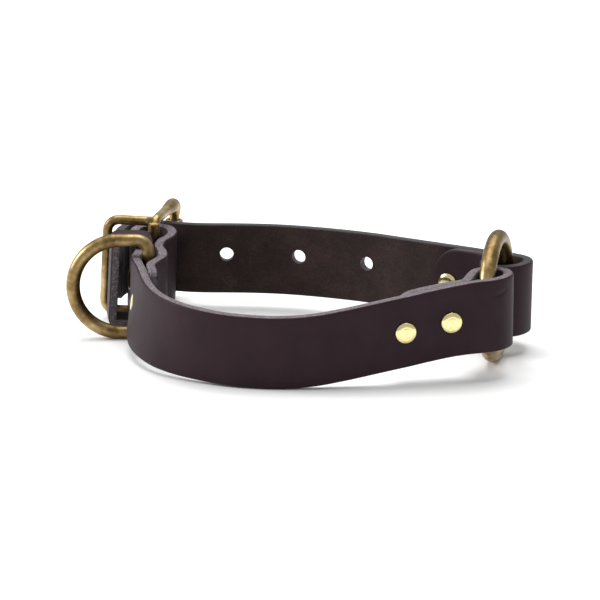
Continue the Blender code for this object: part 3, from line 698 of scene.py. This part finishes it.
def metal(name, verts, faces):
    """A brass object from its points, with its faces turned outwards."""
    mesh = bpy.data.meshes.new(name)
    mesh.from_pydata(verts, [], faces)
    shape = bmesh.new()
    shape.from_mesh(mesh)
    bmesh.ops.remove_doubles(shape, verts=shape.verts, dist=0.001 * MM)
    bmesh.ops.recalc_face_normals(shape, faces=shape.faces)
    shape.to_mesh(mesh)
    shape.free()
    mesh.shade_smooth()
    mesh.set_sharp_from_angle(angle=math.radians(50))
    mesh.materials.append(brass)
    piece = bpy.data.objects.new(name, mesh)
    bpy.context.scene.collection.objects.link(piece)
    return piece


BOW_SWELL = 0.25                             # extra wire radius round the bow, no more than
SWELL_FROM, SWELL_OVER = 4.0, 5.0            # its rise above the legs, so it clears the strap
out = Vector((-1, 0, 0))
low, high = DEE_WIRE / 2, DEE_HEIGHT - DEE_WIRE / 2
bow = (high - low) / 2
leg = DEE_DEPTH - DEE_WIRE - bow
line = arc(DEE_BAR + out * leg + Vector((0, 0, low + bow)), bow, -90, 90, out, 60)
line += arc(DEE_BAR + out * DEE_CORNER + Vector((0, 0, high - DEE_CORNER)), DEE_CORNER, 90, 180,
            out, 12)
line += arc(DEE_BAR + out * DEE_CORNER + Vector((0, 0, low + DEE_CORNER)), DEE_CORNER, 180, 270,
            out, 12)
line = subdivided(line, True, 1.5)
radii = []
for point in line:
    reach = (point - DEE_BAR).dot(out)
    swell = BOW_SWELL * max(0.0, min(1.0, (reach - SWELL_FROM) / SWELL_OVER))
    radii.append(DEE_WIRE / 2 + max(0.0, min(swell, point.z - low, high - point.z)))
d_ring = bent_wire("d_ring_wire", line, radii,
                   out.cross(Vector((0, 0, 1))), True)
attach(d_ring, "d_ring")
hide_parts("d_ring")

# ---- Buckle frame ------------------------------------------------------------------
# Cast in one piece: an oblong frame with a heel bar, which turns in the front strap's
# fold, and beyond the bar a fixed loop.  The nose end flares out to carry the roller.
BUCKLE_HEIGHT, BUCKLE_WIRE, HEEL_WIRE, BUCKLE_LENGTH, BUCKLE_CORNER = 37.0, 3.6, 4.4, 29.4, 4.0
SIDE_LOOP_REACH = 16.5
NOSE_FLARE = 0.75                            # extra wire radius at the nose's corners
FLARE_FROM, FLARE_OVER = 14.0, 10.0          # where it starts past the heel bar, and grows
FLARE_RISE, FLARE_TALL = 11.5, 4.0           # the same, up and down from the middle
FLOOR_CLEARANCE = 0.05
lean_buckle = (Matrix.Translation((HEEL - CENTRE) * MM)
               @ Matrix.Rotation(math.radians(BUCKLE_LEAN), 4, 'Y')
               @ Matrix.Translation((CENTRE - HEEL) * MM))


def cast_together(name, pieces, voxel):
    """Several brass solids fused as in one casting, the joints between them softened."""
    fused = bmesh.new()
    for piece in pieces:
        fused.from_mesh(piece.data)
        bpy.data.objects.remove(piece, do_unlink=True)
    mesh = bpy.data.meshes.new(name)
    fused.to_mesh(mesh)
    fused.free()
    mesh.materials.append(brass)
    casting = bpy.data.objects.new(name, mesh)
    bpy.context.scene.collection.objects.link(casting)
    skin = casting.modifiers.new("one_skin", 'REMESH')
    skin.mode, skin.voxel_size, skin.use_smooth_shade = 'VOXEL', voxel * MM, True
    soften = casting.modifiers.new("tumbled", 'SMOOTH')
    soften.factor, soften.iterations = 0.5, 6
    return settled(casting)


back, outside = frame_directions()
low, high, c = BUCKLE_WIRE / 2, BUCKLE_HEIGHT - BUCKLE_WIRE / 2, BUCKLE_CORNER
nose = HEEL + back * BUCKLE_LENGTH
line = arc(nose - back * c + Vector((0, 0, high - c)), c, 0, 90, back, 12)
line += arc(HEEL + back * c + Vector((0, 0, high - c)), c, 90, 180, back, 12)
line += arc(HEEL + back * c + Vector((0, 0, low + c)), c, 180, 270, back, 12)
line += arc(nose - back * c + Vector((0, 0, low + c)), c, 270, 360, back, 12)
line = subdivided(line, True, 1.2)
radii = []
for index, point in enumerate(line):
    reach = (point - HEEL).dot(back)
    rise = abs(point.z - HEEL.z - BUCKLE_HEIGHT / 2)
    flare = (NOSE_FLARE * max(0.0, min(1.0, (reach - FLARE_FROM) / FLARE_OVER))
             * max(0.0, min(1.0, (rise - FLARE_RISE) / FLARE_TALL)))
    radii.append(BUCKLE_WIRE / 2 + flare)
    if point.z < HEEL.z + BUCKLE_HEIGHT / 2:
        line[index] = point + Vector((0, 0, flare + FLOOR_CLEARANCE))
oblong = bent_wire("oblong", line, radii, back.cross(Vector((0, 0, 1))), True)
bar = bent_wire("heel_bar", [HEEL + Vector((0, 0, z)) for z in (2.5, BUCKLE_HEIGHT - 2.5)],
                [HEEL_WIRE / 2] * 2, back, False)
left = Vector((-1, 0, 0))
side = HEEL + left * SIDE_LOOP_REACH
rail = [HEEL + back * 2.6 + Vector((0, 0, high - 0.6)), HEEL + left * 3.0 + Vector((0, 0, high))]
rail += arc(side - left * c + Vector((0, 0, high - c)), c, 90, 0, left, 12)
rail += arc(side - left * c + Vector((0, 0, low + c)), c, 0, -90, left, 12)
rail += [HEEL + left * 3.0 + Vector((0, 0, low)), HEEL + back * 2.6 + Vector((0, 0, low + 0.6))]
side_loop = bent_wire("side_loop", rail, [BUCKLE_WIRE / 2 - 0.05] * len(rail),
                      Vector((0, 1, 0)), False)
buckle_frame = cast_together("buckle_frame_casting", (oblong, bar, side_loop), 0.3)
buckle_frame.data.transform(lean_buckle)
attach(buckle_frame, "buckle")
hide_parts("buckle_frame")

# ---- Roller ------------------------------------------------------------------------
# A sleeve of rolled brass sheet on the nose bar, so that the strap slides as it is
# pulled tight.  Its ends are turned in a little where they were rolled off.
ROLLER_DIAMETER, ROLLER_LENGTH, ROLLER_BORE = 6.4, 21.0, 4.3


def turned(name, profile, base, sides=48):
    """A solid turned about an upright axis: a closed outline of (radius, height) points."""
    verts, faces, rings = [], [], len(profile)
    for radius, height in profile:
        for k in range(sides):
            angle = math.tau * k / sides
            spot = Vector((radius * math.cos(angle), radius * math.sin(angle), height))
            verts.append((base + spot - CENTRE) * MM)
    for i in range(rings):
        for k in range(sides):
            j, a, b = (k + 1) % sides, i * sides, ((i + 1) % rings) * sides
            faces.append((a + k, a + j, b + j, b + k))
    return metal(name, verts, faces)


outer, inner, end = ROLLER_DIAMETER / 2, ROLLER_BORE / 2, ROLLER_LENGTH
outline = [(inner, 0.0), (outer - 0.45, 0.0), (outer - 0.13, 0.13), (outer, 0.45)]
outline += [(radius, end - height) for radius, height in reversed(outline)]
roller = turned("roller_sleeve", outline,
                nose + Vector((0, 0, (BUCKLE_HEIGHT - ROLLER_LENGTH) / 2)))
roller.data.transform(lean_buckle)
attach(roller, "roller")
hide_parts("buckle_roller")

# ---- Prong -------------------------------------------------------------------------
# Brass wire curled round the heel bar.  It goes through a hole in the billet and rests
# on the roller, where its end is tapered and dipped.
PRONG_DIAMETER, PRONG_HUB_HEIGHT, PRONG_HUB_DIAMETER = 3.0, 5.0, 7.0
r = PRONG_DIAMETER / 2
rest = ROLLER_DIAMETER / 2 + 0.4
knots = [(2.6, 1.7, r), (7.0, 2.7, r), (13.0, 3.4, r), (20.0, PRONG_OFFSET, r),
         (26.5, rest + r * 0.85, r * 0.85), (30.5, rest + r * 0.75, r * 0.75),
         (32.2, rest + r * 0.4, r * 0.55), (32.6, rest + r * 0.3, r * 0.15)]
level = HEEL + Vector((0, 0, PRONG_HEIGHT))
shaped = smooth_route(knots, 0.8)
arm = bent_wire("prong_arm", [level + back * along + outside * off for along, off, _ in shaped],
                [radius for _, _, radius in shaped], Vector((0, 0, 1)), False, 24)
inner, outer, tall = HEEL_WIRE / 2 + 0.35, PRONG_HUB_DIAMETER / 2, PRONG_HUB_HEIGHT
hub = turned("prong_hub", [(inner, 0.0), (outer - 0.3, 0.0), (outer, 0.3), (outer, tall - 0.3),
                           (outer - 0.3, tall), (inner, tall)],
             level - Vector((0, 0, tall / 2)))
prong = cast_together("prong_wire", (arm, hub), 0.16)
prong.data.transform(lean_buckle)
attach(prong, "prong")
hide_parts("buckle_prong")

# ---- Rivets ------------------------------------------------------------------------
# Two-part brass rivets: a domed cap pressed on to a shank that comes up through the
# leather from a flanged base.  They are polished, with a faint ring round the middle.
RIVET_DIAMETER, RIVET_CAP = 7.5, 1.3
LOW_CAP_SINK = 1.0                           # the cap that the D-ring passes is pressed in
KEEPER_GRIP = 11.7


def polished_brass():
    """Rivets straight from the polishing drum: bright yellow brass with hairline marks."""
    material, tree, shader = new_finish("polished_brass")
    place = add_node(tree, "ShaderNodeTexCoord").outputs["Object"]
    marks = add_node(tree, "ShaderNodeTexNoise", {"Vector": place, "Scale": 1 / (1.2 * MM),
                                                  "Detail": 4.0}).outputs["Fac"]
    colour = shades(tree, marks, ((0.35, "#e6d795"), (0.65, "#f0e5ae")))
    tree.links.new(colour, shader.inputs["Base Color"])
    shader.inputs["Metallic"].default_value = 1.0
    tree.links.new(span(tree, marks, 0.14, 0.2), shader.inputs["Roughness"])
    surface = add_node(tree, "ShaderNodeBump", {"Height": marks, "Strength": 0.05,
                                                "Distance": 0.05 * MM})
    tree.links.new(surface.outputs["Normal"], shader.inputs["Normal"])
    return material


def rivet_part(name, profile, sides=40):
    """A turned rivet part about its own Z axis, closed by a point at each end."""
    verts = [(0, 0, profile[0][1] * MM), (0, 0, profile[-1][1] * MM)]
    faces, rings = [], profile[1:-1]
    for radius, height in rings:
        for k in range(sides):
            angle = math.tau * k / sides
            verts.append((radius * math.cos(angle) * MM, radius * math.sin(angle) * MM,
                          height * MM))
    for k in range(sides):
        j, last = (k + 1) % sides, 2 + (len(rings) - 1) * sides
        faces += [(0, 2 + k, 2 + j), (1, last + j, last + k)]
        for i in range(len(rings) - 1):
            a, b = 2 + i * sides, 2 + (i + 1) * sides
            faces.append((a + j, a + k, b + k, b + j))
    part = metal(name, verts, faces)
    part.hide_render = True
    return part


head = RIVET_DIAMETER / 2
dome = [(0, RIVET_CAP), (1.0, RIVET_CAP - 0.02), (1.85, RIVET_CAP - 0.06), (2.0, RIVET_CAP - 0.12),
        (2.15, RIVET_CAP - 0.1), (2.6, RIVET_CAP - 0.2), (head - 0.45, RIVET_CAP - 0.42),
        (head - 0.12, 0.62), (head, 0.4), (head - 0.05, 0.18), (head - 0.25, 0.0), (0, 0.0)]
cap = rivet_part("rivet_cap", dome)
base = rivet_part("rivet_base", [(0, 1.05), (1.4, 1.03), (2.4, 0.95), (head - 0.4, 0.72),
                                 (head - 0.05, 0.4), (head - 0.1, 0.12), (head - 0.3, 0.0),
                                 (0, 0.0)])
# One metre long, so that its scale along Z is the length that it needs
shank = rivet_part("rivet_shank", [(0, 0), (RIVET_POST / 2, 0), (RIVET_POST / 2, -1000),
                                   (0, -1000)])

rivet_tree, given, result = new_tree("rivets")
cap_input = named_input(rivet_tree, "Cap", "NodeSocketObject")
base_input = named_input(rivet_tree, "Base", "NodeSocketObject")
shank_input = named_input(rivet_tree, "Shank", "NodeSocketObject")
rivet_finish = named_input(rivet_tree, "Finish", "NodeSocketMaterial")
facing = read_attribute(rivet_tree, "facing", 'FLOAT_VECTOR')
grip = read_attribute(rivet_tree, "size", 'FLOAT')
outward = add_node(rivet_tree, "FunctionNodeAlignRotationToVector", {"Vector": facing}, axis='Z')
reverse = add_node(rivet_tree, "ShaderNodeVectorMath", {0: facing, "Scale": -1.0},
                   operation='SCALE').outputs[0]
inward = add_node(rivet_tree, "FunctionNodeAlignRotationToVector", {"Vector": reverse}, axis='Z')
depth = add_node(rivet_tree, "ShaderNodeVectorMath", {0: reverse, "Scale": grip},
                 operation='SCALE').outputs[0]
far_side = add_node(rivet_tree, "GeometryNodeSetPosition", {
    "Geometry": given.outputs["Geometry"], "Offset": depth})
stretch = add_node(rivet_tree, "ShaderNodeCombineXYZ", {"X": 1.0, "Y": 1.0, "Z": grip})
parts = []
for thing, ground, rotation, scale in (
        ("Cap", given.outputs["Geometry"], outward, None),
        ("Base", far_side.outputs[0], inward, None),
        ("Shank", given.outputs["Geometry"], outward, stretch)):
    shape = add_node(rivet_tree, "GeometryNodeObjectInfo", {"Object": given.outputs[thing]})
    inputs = {"Points": ground, "Instance": shape.outputs["Geometry"],
              "Rotation": rotation.outputs["Rotation"]}
    if scale:
        inputs["Scale"] = scale.outputs["Vector"]
    parts.append(add_node(rivet_tree, "GeometryNodeInstanceOnPoints", inputs))
together = add_node(rivet_tree, "GeometryNodeJoinGeometry")
for part in parts:
    rivet_tree.links.new(part.outputs[0], together.inputs[0])
real = add_node(rivet_tree, "GeometryNodeRealizeInstances", {"Geometry": together.outputs[0]})
bright = add_node(rivet_tree, "GeometryNodeSetMaterial", {"Geometry": real.outputs[0],
                                                          "Material": given.outputs["Finish"]})
rivet_tree.links.new(bright.outputs[0], result.inputs[0])

pair = LAYER_PITCH + STRAP_THICKNESS
set_rivets = [(FRONT_OUTER, where, FRONT_SIDE, pair, 0) for where in FRONT_RING_RIVETS]
set_rivets += [(REAR_OUTER, where, REAR_SIDE, pair, 0) for where in REAR_RING_RIVETS]
set_rivets += [(FRONT_OUTER, FRONT_BUCKLE_RIVETS[0], FRONT_SIDE, KEEPER_GRIP, 0),
               (FRONT_OUTER, FRONT_BUCKLE_RIVETS[1], FRONT_SIDE, pair + 0.2, LOW_CAP_SINK)]
places = []
for points, where, side, held, sunk in set_rivets:
    middle, face = between_points(points, where, side)
    places.append({"at": middle + face * (STRAP_THICKNESS / 2 - sunk), "facing": face,
                   "size": held - sunk})
rivets = places_mesh("rivets_brass", places)
maker = rivets.modifiers.new("rivets", 'NODES')
maker.node_group = rivet_tree
maker[cap_input], maker[base_input], maker[shank_input] = cap, base, shank
maker[rivet_finish] = polished_brass()
settled(rivets)
rivets.data.shade_smooth()
rivets.data.set_sharp_from_angle(angle=math.radians(50))
for part in (cap, base, shank):
    bpy.data.objects.remove(part, do_unlink=True)
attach(rivets, "root")
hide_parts(*[f"{group}_rivet_{number}_{part}" for group in ("front", "rear", "buckle")
                      for number in (1, 2) for part in ("cap", "post")])

# ---- Studio ------------------------------------------------------------------------
# White table, soft light from above and from the left, and a camera 1.5 m away that
# looks down at the collar by 15.5 degrees.
floor_mesh = bpy.data.meshes.new("floor")
floor_mesh.from_pydata([(-6, -6, -0.0001), (6, -6, -0.0001), (6, 6, -0.0001), (-6, 6, -0.0001)],
                       [], [(0, 1, 2, 3)])
floor_paint, _, floor_shader = new_finish("white_table")
floor_shader.inputs["Base Color"].default_value = linear("#f4f4f4")
floor_shader.inputs["Roughness"].default_value = 0.6
floor_mesh.materials.append(floor_paint)
floor = bpy.data.objects.new("floor", floor_mesh)
bpy.context.scene.collection.objects.link(floor)


def softbox(name, place, aim, size, power):
    lamp = bpy.data.lights.new(name, 'AREA')
    lamp.shape, lamp.size, lamp.energy = 'SQUARE', size, power
    light = bpy.data.objects.new(name, lamp)
    light.location = place
    light.rotation_euler = (Vector(aim) - Vector(place)).to_track_quat('-Z', 'Y').to_euler()
    bpy.context.scene.collection.objects.link(light)


softbox("overhead", (0.0, 0.35, 1.3), (0, 0, 0), 1.2, 20)
softbox("left_side", (-1.2, 0.1, 0.6), (0, 0, 0.02), 0.6, 11)
world = bpy.data.worlds.new("studio")
world.use_nodes = True
world.node_tree.nodes["Background"].inputs["Color"].default_value = (1, 1, 1, 1)
world.node_tree.nodes["Background"].inputs["Strength"].default_value = 0.6
bpy.context.scene.world = world
bpy.context.scene.view_settings.view_transform = 'Standard'

lens = bpy.data.cameras.new("camera")
lens.lens, lens.sensor_width, lens.clip_end = 254.0, 36.0, 50.0
lens.shift_y = 0.0015
camera = bpy.data.objects.new("camera", lens)
elevation, distance = math.radians(15.5), 1500.0
aim = Vector((0, 69, 12))
camera.location = (aim + Vector((0, -math.cos(elevation), math.sin(elevation))) * distance
                   - CENTRE) * MM
camera.rotation_euler = (math.pi / 2 - elevation, 0, 0)
bpy.context.scene.collection.objects.link(camera)
bpy.context.scene.camera = camera
